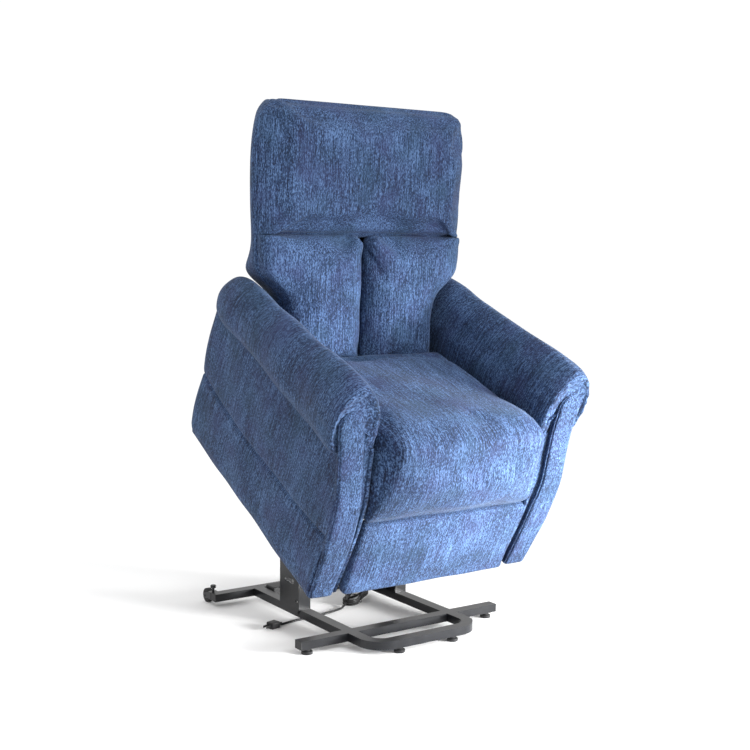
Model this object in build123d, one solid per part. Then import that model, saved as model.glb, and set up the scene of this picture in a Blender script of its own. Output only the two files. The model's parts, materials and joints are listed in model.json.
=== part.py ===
from build123d import *
import os
from math import atan2, cos, degrees, hypot, pi, radians, sin, tan

# Power lift recliner chair, millimetres. X is across the chair (+X is the sitter's left),
# Y runs to the rear and Z is up. The floor is z = 0, below the centre of the bounding box.
# The chair is modelled raised: its seat body stands tilted forward on the lift base.
# Points of the seat body are given as (s, t): s runs back along the body's bottom edge from
# its front corner, and t is the height above that edge.

# ---- Driving dimensions: pose of the seat body ----
BASE_FRONT_Y = -154.173            # front face of the front cross tube
TILT = 27.1                      # forward tilt of the raised seat body, degrees
RAISED_ORIGIN = (BASE_FRONT_Y - 82.3, 187.9)    # (y, z) of s = t = 0 when raised
LOWERED_ORIGIN = (BASE_FRONT_Y - 140.0, 50.0)   # the same corner when the chair is down

# ---- Driving dimensions: base ----
TUBE_WIDE = 34.0
TUBE_TALL = 24.0
TUBE_WALL = 2.0
FOOT_HEIGHT = 17.0               # floor to the underside of the tubes
RAIL_X = 175.0                   # centre line of the side rails
FRONT_TUBE_HALF = 343.0
REAR_TUBE_HALF = 328.0
REAR_TUBE_Y = BASE_FRONT_Y + 549.0   # front face of the rear cross tube
LOOP_REACH = 127.0               # how far the front loop stands out
WHEEL_RADIUS = 22.0
WHEEL_X = 318.0
WHEEL_Y = REAR_TUBE_Y + 74.0

# ---- Driving dimensions: lift linkage, (y, z) of the pivots on the uprights ----
UPRIGHT_FRONT_Y = BASE_FRONT_Y + 266.0
UPRIGHT_DEPTH = 114.0
UPRIGHT_TOP = 294.0
ARM_ANCHOR = (BASE_FRONT_Y + 350.0, 270.0)
LINK_ANCHOR = (BASE_FRONT_Y + 290.0, 190.0)
ARM_PIVOT_S = 200.0              # lift arm's pivot on the seat body
LINK_PIVOT_S = 100.0             # stabiliser link's pivot on the seat body
TORQUE_ARM = 150.0               # from the arm's body pivot to the torque tube
TORQUE_ANGLE = 60.0              # between that arm and the line to the anchor, degrees

# ---- Driving dimensions: seat body ----
BODY_DEPTH = 820.0
SIDE_HALF = 372.0                # outer face of the arm sides
ARM_INNER = 281.0                # inner face of the arms
ROLL_OUTER = 418.0
ROLL_INNER = 300.0
SEAT_HALF = 275.0
SIDE_PLATE = (240.0, 244.0)      # side plates of the mechanism, inner and outer |x|
BACK_LEAN = 23.3                 # lean of the backrest in the seat body, degrees
BACK_HINGE = (640.0, 300.0)
BACK_FACE = (565.0, 420.0)       # a point on the front face line of the backrest
BACK_HALF = 358.0                # half width of the headrest

# ---- Driving dimensions: recline linkage ----
LEG_PIVOT = (120.0, 230.0)
LEG_LINK = 190.0                 # both links of the legrest
LEG_BRACKET_SHUT = (40.0, 120.0)
LEG_BRACKET_OUT = (-200.0, 370.0)
TORQUE_RADIUS = 14.0
RAM_PIN_OFFSET = 36.0            # from the torque tube back to the ram's pin
RECLINE_CRANK = 70.0
DRIVE_CRANK = 31.0
BACK_LEVER = 110.0
BACK_TRAVEL = 30.0               # how far the backrest reclines, degrees

# ---- Driving dimensions: actuators ----
REAR_TUBE_POINT = (750.0, 155.0)     # square tube that carries both actuators
LIFT_CLEVIS = (720.0, 120.0)
RECLINE_CLEVIS = (715.0, 190.0)
RECLINE_LANE = -100.0                # x of the recline actuator
GUIDE_TUBE_END = 385.0               # from the clevis pin to the mouth of the guide tube
RAM_ENGAGED = 60.0                   # ram left inside the guide tube at full reach

GAP = 0.4                            # clearance between neighbours that move or are padded

# ---- Driving dimensions: mains lead ----
CORD_RADIUS = 3.5
CORD_LENGTH = 1800.0
HANK_CENTRE = (86.0, BASE_FRONT_Y + 388.0)
HANK_SIZE = (150.0, 50.0, 22.0)
HANK_TURN = 40.4                     # turn of the hank on the floor, degrees


# ---- Geometry helpers ----
def raised(s, t):
    """(y, z) of a seat body point when the chair is raised."""
    a = radians(TILT)
    return (RAISED_ORIGIN[0] + s * cos(a) - t * sin(a), RAISED_ORIGIN[1] + s * sin(a) + t * cos(a))


def lowered(s, t):
    """(y, z) of a seat body point when the chair is down."""
    return (LOWERED_ORIGIN[0] + s, LOWERED_ORIGIN[1] + t)


def in_body(y, z):
    """(s, t) of a fixed point, seen from the raised seat body."""
    a = radians(TILT)
    dy, dz = y - RAISED_ORIGIN[0], z - RAISED_ORIGIN[1]
    return (dy * cos(a) + dz * sin(a), -dy * sin(a) + dz * cos(a))


def span(p, q):
    return hypot(q[0] - p[0], q[1] - p[1])


def bearing(p, q):
    """Direction from p to q in degrees, in a (y, z) or (s, t) plane."""
    return degrees(atan2(q[1] - p[1], q[0] - p[0]))


def polar(p, radius, angle):
    return (p[0] + radius * cos(radians(angle)), p[1] + radius * sin(radians(angle)))


def matched_height(anchor, s):
    """t of the pivot at s that is equally far from the anchor in both end positions."""
    def mismatch(t):
        return span(lowered(s, t), anchor) ** 2 - span(raised(s, t), anchor) ** 2

    slope = mismatch(1.0) - mismatch(0.0)
    return -mismatch(0.0) / slope


def elbow(start, end, length, side):
    """Joint of two equal links between start and end."""
    half = degrees(atan2((length**2 - (span(start, end) / 2) ** 2) ** 0.5, span(start, end) / 2))
    return polar(start, length, bearing(start, end) + side * half)


def block(x, y, z):
    """Box between the limits given as (low, high) pairs."""
    low, high = zip(x, y, z)
    size = [b - a for a, b in zip(low, high)]
    return Pos(*low) * Box(*size, align=(Align.MIN,) * 3)


def plate(sketch, x):
    """A flat piece: a sketch in the (y, z) or (s, t) plane, extruded between two x."""
    return Pos(x[0], 0, 0) * extrude(Plane.YZ * sketch, amount=x[1] - x[0])


def outline(*points):
    return make_face(Polyline(*points, close=True))


def rod_x(centre, radius, x, bore=0.0):
    """Round bar or tube along x through a (y, z) or (s, t) point."""
    shape = Circle(radius)
    if bore:
        shape -= Circle(bore)
    return plate(Pos(*centre) * shape, x)


def strap(p, q, half_width, holes=()):
    """Sketch of a flat link with round ends and holes given as (point, radius)."""
    middle = ((p[0] + q[0]) / 2, (p[1] + q[1]) / 2)
    shape = Pos(*middle) * Rot(0, 0, bearing(p, q)) * SlotCenterToCenter(span(p, q), 2 * half_width)
    for centre, radius in holes:
        shape -= Pos(*centre) * Circle(radius)
    return shape


def both(shape):
    """The shape and its mirror image on the other side of the chair."""
    return [shape, shape.mirror(Plane.YZ)]


def tilt(shape):
    """Seat body shape, placed as the raised chair holds it."""
    return Location((0, *RAISED_ORIGIN), (TILT, 0, 0)) * shape


def lean(shape):
    """Backrest shape, drawn upright with its face at y = 0, leant onto the seat body."""
    return tilt(Location((0, *BACK_FACE), (-BACK_LEAN, 0, 0)) * shape)


def rounded(shape, radius, edges=None):
    return fillet(edges or shape.edges(), radius)


PARTS = {}


def add(name, *shapes):
    PARTS[name] = Compound(children=[s for shape in shapes for s in shape.solids()])


# ---- Worked-out pivots ----
ARM_PIVOT = (ARM_PIVOT_S, matched_height(ARM_ANCHOR, ARM_PIVOT_S))
LINK_PIVOT = (LINK_PIVOT_S, matched_height(LINK_ANCHOR, LINK_PIVOT_S))
ARM_PIVOT_UP = raised(*ARM_PIVOT)
LINK_PIVOT_UP = raised(*LINK_PIVOT)
TORQUE_UP = polar(ARM_PIVOT_UP, TORQUE_ARM, bearing(ARM_PIVOT_UP, ARM_ANCHOR) - TORQUE_ANGLE)
TORQUE_DOWN = polar(
    lowered(*ARM_PIVOT), TORQUE_ARM, bearing(lowered(*ARM_PIVOT), ARM_ANCHOR) - TORQUE_ANGLE
)
RAM_PIN_UP = polar(TORQUE_UP, RAM_PIN_OFFSET, bearing(TORQUE_UP, ARM_PIVOT_UP))
RAM_PIN_DOWN = polar(TORQUE_DOWN, RAM_PIN_OFFSET, bearing(TORQUE_DOWN, lowered(*ARM_PIVOT)))
LEG_ELBOW = elbow(LEG_PIVOT, LEG_BRACKET_SHUT, LEG_LINK, 1)
LEG_ELBOW_OUT = elbow(LEG_PIVOT, LEG_BRACKET_OUT, LEG_LINK, 1)
LEG_TURN = bearing(LEG_PIVOT, LEG_ELBOW_OUT) - bearing(LEG_PIVOT, LEG_ELBOW)
if LEG_TURN > 0:
    LEG_TURN -= 360
CRANK_START = -90 - LEG_TURN / 2     # both cranks swing evenly through straight down
RECLINE_PIN = polar(LEG_PIVOT, RECLINE_CRANK, CRANK_START)
DRIVE_PIN = polar(LEG_PIVOT, DRIVE_CRANK, CRANK_START)
LEVER_PIN = polar(BACK_HINGE, BACK_LEVER, -90)
LIFT_PIN = in_body(*RAM_PIN_UP)
LIFT_PIN_SHUT = (RAM_PIN_DOWN[0] - LOWERED_ORIGIN[0], RAM_PIN_DOWN[1] - LOWERED_ORIGIN[1])
LIFT_REACH = span(LIFT_CLEVIS, LIFT_PIN)
LIFT_SHUT = span(LIFT_CLEVIS, LIFT_PIN_SHUT)
RECLINE_PIN_OUT = polar(LEG_PIVOT, RECLINE_CRANK, CRANK_START + LEG_TURN)
RECLINE_SHUT = span(RECLINE_CLEVIS, RECLINE_PIN)
RECLINE_REACH = span(RECLINE_CLEVIS, RECLINE_PIN_OUT)


# ---- Lift base ----
TUBE_Z = (FOOT_HEIGHT, FOOT_HEIGHT + TUBE_TALL)


def tube(x, y):
    """Hollow rectangular tube lying along the longer of its two sides."""
    shell = block(x, y, TUBE_Z)
    along_x = x[1] - x[0] > y[1] - y[0]
    inset = (0.0, TUBE_WALL) if along_x else (TUBE_WALL, 0.0)
    bore = block(
        (x[0] + inset[0], x[1] - inset[0]),
        (y[0] + inset[1], y[1] - inset[1]),
        (TUBE_Z[0] + TUBE_WALL, TUBE_Z[1] - TUBE_WALL),
    )
    return shell - bore


def make_base_tubes():
    front_y = (BASE_FRONT_Y, BASE_FRONT_Y + TUBE_WIDE)
    rear_y = (REAR_TUBE_Y, REAR_TUBE_Y + TUBE_WIDE)
    add("base_front_tube", tube((-FRONT_TUBE_HALF, FRONT_TUBE_HALF), front_y))
    add("base_rear_tube", tube((-REAR_TUBE_HALF, REAR_TUBE_HALF), rear_y))
    rail = tube((RAIL_X - TUBE_WIDE / 2, RAIL_X + TUBE_WIDE / 2), (front_y[1], rear_y[0]))
    add("base_side_rails", *both(rail))


def make_base_loop():
    """U-shaped tube in front of the cross tube, bent round at its two front corners."""
    bend = 74.0

    def solid(inset, z):
        half = RAIL_X + TUBE_WIDE / 2 - inset
        inner = RAIL_X - TUBE_WIDE / 2 + inset
        front = BASE_FRONT_Y - LOOP_REACH + inset
        back = BASE_FRONT_Y - LOOP_REACH + TUBE_WIDE - inset
        far = BASE_FRONT_Y + bend
        keep = Pos(0, BASE_FRONT_Y - LOOP_REACH / 2) * Rectangle(3 * half, LOOP_REACH)
        outer = Pos(0, (front + far) / 2) * RectangleRounded(2 * half, far - front, bend - inset)
        hole = Pos(0, (back + far) / 2) * RectangleRounded(
            2 * inner, far - back, bend - TUBE_WIDE + inset
        )
        band = (outer - hole) & keep
        return Pos(0, 0, z[0]) * extrude(band, amount=z[1] - z[0])

    bore = solid(TUBE_WALL, (TUBE_Z[0] + TUBE_WALL, TUBE_Z[1] - TUBE_WALL))
    add("base_front_loop", solid(0.0, TUBE_Z) - bore)


def make_feet():
    """Round glides screwed up into the tubes; the pad spreads on the floor."""
    spots = [(317.0, BASE_FRONT_Y + 17), (93.0, BASE_FRONT_Y - LOOP_REACH + 17)]
    glides = []
    for x, y in spots:
        pad = Pos(x, y, 4.5) * Cylinder(16, 9)
        pad = rounded(pad, 2.0)
        collar = Pos(x, y, 13) * Cylinder(9, 8)
        glides += both(pad + collar)
    add("levelling_feet", *glides)


def make_end_caps():
    """Plastic caps on the four open tube ends, each with a plug inside the tube."""
    caps = []
    for half, y in ((FRONT_TUBE_HALF, BASE_FRONT_Y), (REAR_TUBE_HALF, REAR_TUBE_Y)):
        cap = block((half, half + 2.5), (y, y + TUBE_WIDE), TUBE_Z)
        inset = TUBE_WALL + 0.1
        plug = block(
            (half - 12, half), (y + inset, y + TUBE_WIDE - inset), (TUBE_Z[0] + inset, TUBE_Z[1] - inset)
        )
        caps += both(cap + plug)
    add("tube_end_caps", *caps)


def make_wheels():
    """Transport wheels behind the rear tube: fork, adjusting screw and wheel on each side."""
    axle_z = WHEEL_RADIUS
    fork_half = 13.0
    cheek = strap((WHEEL_Y - 30, 30.0), (WHEEL_Y, axle_z), 9.0)
    cheeks = [plate(cheek, (WHEEL_X + a, WHEEL_X + a + 2.5)) for a in (-fork_half, fork_half - 2.5)]
    bridge = block(
        (WHEEL_X - fork_half, WHEEL_X + fork_half),
        (REAR_TUBE_Y + TUBE_WIDE, WHEEL_Y - WHEEL_RADIUS - 2),
        (TUBE_Z[0], TUBE_Z[1]),
    )
    pin = rod_x((WHEEL_Y, axle_z), 3.0, (WHEEL_X - fork_half - 2, WHEEL_X + fork_half + 2))
    screw = Pos(WHEEL_X, WHEEL_Y - 34, 47) * Cylinder(4.0, 12)
    knob = Pos(WHEEL_X, WHEEL_Y - 34, 57) * Cylinder(9.0, 10)
    bracket = bridge + cheeks[0] + cheeks[1] + pin + screw + rounded(knob, 3.0)
    add("wheel_brackets", *both(bracket))
    tread = rod_x((WHEEL_Y, axle_z), WHEEL_RADIUS, (WHEEL_X - 9, WHEEL_X + 9), 3.3)
    rims = tread.edges().filter_by(GeomType.CIRCLE).sort_by(lambda e: -e.radius)[:2]
    wheel = fillet(rims, 3.0)
    left, right = both(wheel)
    add("transport_wheel_left", left)
    add("transport_wheel_right", right)


def make_uprights():
    """Pressed channel bolted to the outside of each rail, with a lip front and rear."""
    web_x = (RAIL_X + TUBE_WIDE / 2, RAIL_X + TUBE_WIDE / 2 + 4)
    rear = UPRIGHT_FRONT_Y + UPRIGHT_DEPTH
    middle = (UPRIGHT_FRONT_Y + rear) / 2
    web = Pos(middle, (22 + UPRIGHT_TOP) / 2) * RectangleRounded(UPRIGHT_DEPTH, UPRIGHT_TOP - 22, 26)
    web -= Pos(UPRIGHT_FRONT_Y + 14, 64) * Circle(5)
    web -= Pos(middle, 120) * SlotCenterToCenter(40, 14)
    channel = plate(web, web_x)
    for y in (UPRIGHT_FRONT_Y, rear - 4):
        channel += block((web_x[0] - 36, web_x[1]), (y, y + 4), (TUBE_Z[1], UPRIGHT_TOP - 40))
    add("base_uprights", *both(channel))
    arm_pin = rod_x(ARM_ANCHOR, 8.0, (web_x[1], 206.5)) + rod_x(ARM_ANCHOR, 12.0, (206.5, 211))
    link_pin = rod_x(LINK_ANCHOR, 8.0, (145.5, web_x[0])) + rod_x(LINK_ANCHOR, 12.0, (141, 145.5))
    add("upright_pivot_pins", *both(arm_pin), *both(link_pin))


# ---- Lift linkage ----
ARM_PLATE = (199.0, 205.0)
LINK_PLATE = (146.5, 152.5)
PIN_HOLE = 8.3


def make_lift_arms():
    """Two three-cornered plates joined by the torque tube that the actuator pushes."""
    corners = (ARM_ANCHOR, ARM_PIVOT_UP, TORQUE_UP)
    shape = make_face(Polyline(*corners, close=True))
    for p, q in zip(corners, corners[1:] + corners[:1]):
        shape += strap(p, q, 19.0)
    window = [
        tuple(c + 0.42 * (sum(k[i] for k in corners) / 3 - c) for i, c in enumerate(corner))
        for corner in corners
    ]
    shape -= fillet(outline(*window).vertices(), 12)
    for hole in (ARM_ANCHOR, ARM_PIVOT_UP):
        shape -= Pos(*hole) * Circle(PIN_HOLE)
    add("lift_arms", *both(plate(shape, ARM_PLATE)))
    tube_part = rod_x(TORQUE_UP, TORQUE_RADIUS, (-ARM_PLATE[0], ARM_PLATE[0]))
    ear = strap(TORQUE_UP, RAM_PIN_UP, 11.0)
    for offset in (-17.0, 13.0):
        tube_part += plate(ear, (offset, offset + 4))
    for x in ((-20.0, -13.0), (13.0, 20.0)):
        tube_part += rod_x(RAM_PIN_UP, 6.0, x)
    tube_part -= rod_x(TORQUE_UP, TORQUE_RADIUS - 2.5, (-ARM_PLATE[0], ARM_PLATE[0]))
    add("lift_torque_tube", tube_part)


def make_stabiliser_links():
    shape = strap(LINK_ANCHOR, LINK_PIVOT_UP, 15.0, [(LINK_ANCHOR, PIN_HOLE)])
    add("stabiliser_links", *both(plate(shape, LINK_PLATE)))


# ---- Mechanism of the seat body ----
def make_side_plates():
    """Pressed steel plates that carry the seat, the lift pivots and the backrest hinge."""
    points = [
        (66, 62), (120, 48), (228, 66), (300, 150), (560, 150), (690, 92), (775, 108),
        (778, 190), (700, 232), (664, 320), (616, 320), (584, 261), (84, 261), (66, 240),
    ]
    sketch = outline(*points)
    sketch = fillet(sketch.vertices(), 12)
    for centre in (ARM_PIVOT, LINK_PIVOT, BACK_HINGE):
        sketch -= Pos(*centre) * Circle(PIN_HOLE)
    sketch -= Pos(*LEG_PIVOT) * Circle(12.4)
    sketch -= Pos(440, 205) * SlotCenterToCenter(120, 40)
    add("mechanism_side_plates", *[tilt(p) for p in both(plate(sketch, SIDE_PLATE))])


def make_cross_tubes():
    """Square tubes between the side plates; the rear one has lugs for both actuators."""
    inner = SIDE_PLATE[0]
    s, t = REAR_TUBE_POINT
    rear = block((-inner, inner), (s - 15, s + 15), (t - 15, t + 15))
    rear -= block((-inner, inner), (s - 13, s + 13), (t - 13, t + 13))
    for lane, clevis in ((0.0, LIFT_CLEVIS), (RECLINE_LANE, RECLINE_CLEVIS)):
        side = 1 if clevis[1] > t else -1
        foot = (s - 13, t + side * 13)
        lug = strap(foot, clevis, 10.0) - Pos(s, t) * Rectangle(30, 30)
        for offset in (-17.0, 13.0):
            rear += plate(lug, (lane + offset, lane + offset + 4))
        rear += rod_x(clevis, 5.0, (lane - 19, lane + 19))
    front = block((-inner, inner), (72, 92), (237, 257)) - block((-inner, inner), (74, 90), (239, 255))
    add("chassis_cross_tubes", tilt(rear), tilt(front))


def make_chassis_pins():
    """Shouldered pins riveted in the side plates for the lift arms, links and backrest."""
    arm_pin = rod_x(ARM_PIVOT, 8.0, (ARM_PLATE[0] - 0.5, SIDE_PLATE[1] + 1))
    arm_pin += rod_x(ARM_PIVOT, 12.0, (ARM_PLATE[0] - 4, ARM_PLATE[0] - 0.5))
    arm_pin += rod_x(ARM_PIVOT, 12.0, (ARM_PLATE[1] + 0.6, SIDE_PLATE[0]))
    link_pin = rod_x(LINK_PIVOT, 8.0, (LINK_PLATE[1] + 0.8, SIDE_PLATE[1] + 1))
    link_pin += rod_x(LINK_PIVOT, 12.0, (SIDE_PLATE[0] - 20, SIDE_PLATE[0]))
    hinge = rod_x(BACK_HINGE, 8.0, (224.0, SIDE_PLATE[1]))
    hinge += rod_x(BACK_HINGE, 12.0, (SIDE_PLATE[1], SIDE_PLATE[1] + 5))
    add("chassis_pivot_pins", *[tilt(p) for pin in (arm_pin, link_pin, hinge) for p in both(pin)])


def make_seat_frame():
    """Wooden rails of the seat box and the elastic webbing stretched between them."""
    rails = [
        block((-262, 262), (46, 68), (262, 300)),
        block((-262, 262), (556, 578), (262, 300)),
        block((240, 262), (68, 556), (262, 300)),
        block((-262, -240), (68, 556), (262, 300)),
    ]
    add("seat_frame_rails", *[tilt(r) for r in rails])
    straps = [block((x - 25, x + 25), (46, 578), (300, 302.5)) for x in (-190, -95, 0, 95, 190)]
    add("seat_webbing", *[tilt(b) for b in straps])


# ---- Legrest linkage ----
LOWER_LINK = (248.0, 253.0)
UPPER_LINK = (256.0, 261.0)


def make_legrest():
    """Torque tube with cranks and lower links, upper links, board with brackets, and its pad."""
    stub = rod_x(LEG_PIVOT, 12.0, (-LOWER_LINK[0], LOWER_LINK[0]), 9.0)
    lower = plate(strap(LEG_PIVOT, LEG_ELBOW, 14.0), LOWER_LINK)
    elbow_pin = rod_x(LEG_ELBOW, 6.0, (LOWER_LINK[1], UPPER_LINK[1] + 1.5))
    drive = strap(LEG_PIVOT, DRIVE_PIN, 13.0)
    crank = plate(drive, (223.0, 229.0)) + rod_x(DRIVE_PIN, 6.0, (229.0, 236.5))
    assembly = stub
    for piece in both(lower + elbow_pin) + both(crank):
        assembly += piece
    ears = strap(LEG_PIVOT, RECLINE_PIN, 15.0)
    for offset in (-17.0, 13.0):
        assembly += plate(ears, (RECLINE_LANE + offset, RECLINE_LANE + offset + 4))
    for x in ((-20.0, -13.0), (13.0, 20.0)):
        assembly += rod_x(RECLINE_PIN, 6.0, (RECLINE_LANE + x[0], RECLINE_LANE + x[1]))
    add("legrest_crank_shaft", tilt(assembly))

    holes = [(LEG_ELBOW, 6.3), (LEG_BRACKET_SHUT, 6.3)]
    upper = strap(LEG_ELBOW, LEG_BRACKET_SHUT, 12.0, holes)
    add("legrest_upper_links", *both(tilt(plate(upper, UPPER_LINK))))

    board_s = (5.0, 23.0)
    board = block((-262, 262), board_s, (14, 222))
    ear = outline((board_s[1], 60), (board_s[1], 180), (40, 134), (52, 120), (40, 106))
    bracket = plate(ear, LOWER_LINK) + rod_x(LEG_BRACKET_SHUT, 6.0, (LOWER_LINK[1], UPPER_LINK[1] + 1.5))
    add("legrest_board", tilt(board))
    add("legrest_brackets", *[tilt(b) for b in both(bracket)])
    pad = block((-SEAT_HALF, SEAT_HALF), (-17, board_s[0]), (3, 233))
    pad = fillet(pad.edges().filter_by(Axis.Y, reverse=True).group_by(Axis.Y)[0], 9)
    add("legrest_pad", tilt(pad))


# ---- Backrest ----
def back_point(height, depth):
    """(s, t) of a point given along the backrest's face and behind it."""
    a = radians(BACK_LEAN)
    return (
        BACK_FACE[0] + height * sin(a) + depth * cos(a),
        BACK_FACE[1] + height * cos(a) - depth * sin(a),
    )


def front_slab_of(sketch, y):
    """A sketch in the (x, z) plane, thickened between two y."""
    return Pos(0, y[1], 0) * extrude(Plane.XZ * sketch, amount=y[1] - y[0])


def front_slab(points, y):
    """Slab with the given corners in the (x, z) plane, between two y."""
    return front_slab_of(outline(*points), y)


def make_back_frame():
    """Wooden frame of two stiles and three rails, with a steel hinge bracket on each stile."""
    stiles = [block(x, (62, 86), (-88, 690)) for x in ((-224, -198), (198, 224))]
    cross = [block((-198, 198), (62, 86), (z, z + 40)) for z in (-88, 330, 650)]
    add("back_frame", *[lean(piece) for piece in stiles + cross])
    bracket = strap(BACK_HINGE, LEVER_PIN, 15.0) + strap(BACK_HINGE, back_point(10, 80), 15.0)
    bracket -= Pos(*BACK_HINGE) * Circle(PIN_HOLE)
    arm = plate(bracket, (224.4, 229.4)) + rod_x(LEVER_PIN, 6.0, (229.4, DRIVE_PLATE[0] - 0.8))
    add("back_hinge_brackets", *[tilt(a) for a in both(arm)])


def make_back_pads():
    """Headrest over two lumbar pads, which flare out above the arms, and the outer shell."""
    half = BACK_HALF
    head = [
        (half - 8, 334), (half, 420), (half, 600), (half - 22, 676), (half - 85, 712),
        (85 - half, 712), (22 - half, 676), (-half, 600), (-half, 420), (8 - half, 334),
    ]
    add("headrest_pad", lean(front_slab(head, (-16, 60))))
    lumbar = [(4, -70), (262, -70), (262, 236), (346, 292), (350, 330), (4, 330)]
    for side, name in ((1, "left"), (-1, "right")):
        points = [(side * x, z) for x, z in lumbar]
        add("lumbar_pad_" + name, lean(front_slab(points, (-10, 60))))


def shell_edge(inset, bottom):
    """Outline of the outer shell, narrow between the arms and wide above them."""
    narrow, wide, top = 262.0 - inset, 292.0 - inset, 700.0 - inset
    half = [(narrow, bottom), (narrow, 250), (wide, 300), (wide, 640), (wide - 50, top)]
    return half + [(-x, z) for x, z in reversed(half)]


def make_back_shell():
    wall = 8.0
    outer = front_slab(shell_edge(0.0, -30), (60.5, 150))
    inner = front_slab(shell_edge(wall, -40), (60, 150 - wall))
    add("back_shell", lean(outer - inner))


# ---- Arms ----
ARM_BOARD = (283.0, 293.0)
SIDE_BOARD = (352.0, 364.0)


BOARD_FRONT = [(64, 470), (14, 330)]      # slanted front edge of the arm boards, top to bottom
FACING_FRONT = [(2, 2), (-11, 150), (-13, 240), (-9, 310), (12, 382), (33, 460), (46, 520), (50, 562)]
ROLL_LOW, ROLL_FRONT, ROLL_BACK = 441.0, 42.0, 774.0


def arm_plate(bottom, top, x):
    """Side of an arm between two heights: its front edge leans back below the roll."""
    front = [(BOARD_FRONT[0][0], top), *BOARD_FRONT, (BOARD_FRONT[1][0], bottom)]
    return plate(outline((800, bottom), (800, top), *front), x)


def facing_head():
    """Sketch of the facing's neck and round head, in the (x, t) plane."""
    return outline((321, 430), (391, 430), (401, 520), (331, 520)) + Pos(366, 520) * Circle(36)


def make_facing():
    """Padded front of an arm: its face leans back towards a round head set into the roll."""
    sheet = plate(outline(*FACING_FRONT, (63, 562), (63, 470), (13, 329), (13, 2)), (270, 430))
    body = outline((281, 2), (371, 2), (380, 210), (383, 333), (391, 440), (283, 440))
    return front_slab_of(body + facing_head(), (-30, 80)) & sheet


def make_roll():
    """Rolled top of an arm: an even section that falls and narrows towards the rear."""
    def section(s, top):
        middle = (ROLL_INNER + ROLL_OUTER) / 2
        shape = Pos(middle, (ROLL_LOW + top) / 2) * RectangleRounded(
            ROLL_OUTER - ROLL_INNER, top - ROLL_LOW, 39
        )
        return Plane((0, s, 0), x_dir=(1, 0, 0), z_dir=(0, -1, 0)) * shape

    roll = loft([section(ROLL_FRONT, 636), section(ROLL_BACK, 560)])
    roll -= block((ARM_INNER, SIDE_HALF + GAP), (0, ROLL_BACK + 6), (ROLL_LOW - 10, 500 + GAP))
    roll -= block((ARM_INNER, 396 + GAP), (0, ROLL_BACK + 6), (488 - GAP, 500 + GAP))
    return roll - front_slab_of(offset(facing_head(), GAP), (0, 63 + GAP))


def make_arms():
    """Each arm: wooden box frame open below, padded sides, front facing and rolled top."""
    front_s, top_s = BOARD_FRONT[1][0], BOARD_FRONT[0][0]
    frame = [
        arm_plate(6, 488, SIDE_BOARD),
        arm_plate(6, 488, ARM_BOARD),
        block((ARM_BOARD[1], SIDE_BOARD[0]), (front_s, front_s + 22), (6, 330)),
        block((ARM_BOARD[1], SIDE_BOARD[0]), (778, 800), (6, 488)),
        block((ARM_BOARD[0] + 8, 396), (top_s, 768), (488, 500)),
    ]
    covers = [
        arm_plate(0, 479, (SIDE_BOARD[1], SIDE_HALF)),
        block((ARM_BOARD[0], SIDE_HALF), (800, 812), (2, 479)),
        arm_plate(2, 486, (ARM_INNER, ARM_BOARD[0])),
    ]
    roll, facing = make_roll(), make_facing()
    for sign, name in ((1, "left"), (-1, "right")):
        turn = (lambda shape: shape) if sign > 0 else (lambda shape: shape.mirror(Plane.YZ))
        add("arm_frame_" + name, *[tilt(turn(piece)) for piece in frame])
        add("arm_side_" + name, *[tilt(turn(piece)) for piece in covers])
        add("arm_roll_" + name, tilt(turn(roll)))
    add("arm_facings", *[tilt(f) for f in both(facing)])
    spots = [(320, 228), (590, 190), (742, 190)]
    bolts = [rod_x(spot, 9.0, (SIDE_PLATE[1], ARM_INNER)) for spot in spots]
    add("arm_spacer_bolts", *[tilt(b) for bolt in bolts for b in both(bolt)])


# ---- Seat and rear panel ----
def make_seat():
    """Seat cushion: it falls over the front rail in a waterfall and stops at the legrest pad."""
    profile = outline(
        (-10, 251), (42, 251), (42, 303), (503, 303), (543, 432), (300, 472), (60, 505),
        (0, 506), (-36, 488), (-50, 440), (-46, 340), (-28, 270),
    )
    add("seat_cushion", tilt(plate(profile, (-SEAT_HALF, SEAT_HALF))))
    panel = block((-ARM_BOARD[0] + GAP, ARM_BOARD[0] - GAP), (800.5, 812), (4, 330))
    add("rear_panel", tilt(panel))


# ---- Actuators ----
def along(lane, start, angle):
    """Placement that turns +Y onto a direction in the (s, t) plane at one x."""
    return Location((lane, *start), (angle, 0, 0))


def make_actuator(name, lane, clevis, pin, longest, motor_side):
    """Linear actuator: motor and gearbox housing, guide tube, and the ram with its eye."""
    place = along(lane, clevis, bearing(clevis, pin))
    eye = Rot(0, 90, 0) * Cylinder(13, 24) + block((-12, 12), (0, 24), (-12, 12))
    box = rounded(block((-24, 24), (22, 76), (-22, 22)), 5.0)
    motor = Pos(0, 84, motor_side * 47) * Rot(90, 0, 0) * Cylinder(23, 124)
    motor = rounded(motor, 4.0, motor.edges().filter_by(GeomType.CIRCLE))
    web = block((-20, 20), (30, 70), tuple(sorted((motor_side * 10, motor_side * 44))))
    housing = eye + box + motor + web - Rot(0, 90, 0) * Cylinder(5.4, 60)
    guide = Pos(0, (76 + GUIDE_TUBE_END) / 2, 0) * Rot(90, 0, 0) * Cylinder(16, GUIDE_TUBE_END - 76)
    bore = Pos(0, (76 + GUIDE_TUBE_END) / 2, 0) * Rot(90, 0, 0) * Cylinder(10.6, GUIDE_TUBE_END - 76)
    tip = span(clevis, pin)
    length = longest - GUIDE_TUBE_END + RAM_ENGAGED
    ram = Pos(0, tip - length / 2 - 6, 0) * Rot(90, 0, 0) * Cylinder(10, length - 12)
    ram += Pos(0, tip, 0) * Rot(0, 90, 0) * Cylinder(11, 14)
    ram -= Pos(0, tip, 0) * Rot(0, 90, 0) * Cylinder(6.2, 30)
    add(name + "_motor_housing", tilt(place * housing))
    add(name + "_guide_tube", tilt(place * (guide - bore)))
    add(name + "_ram", tilt(place * ram))


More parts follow.
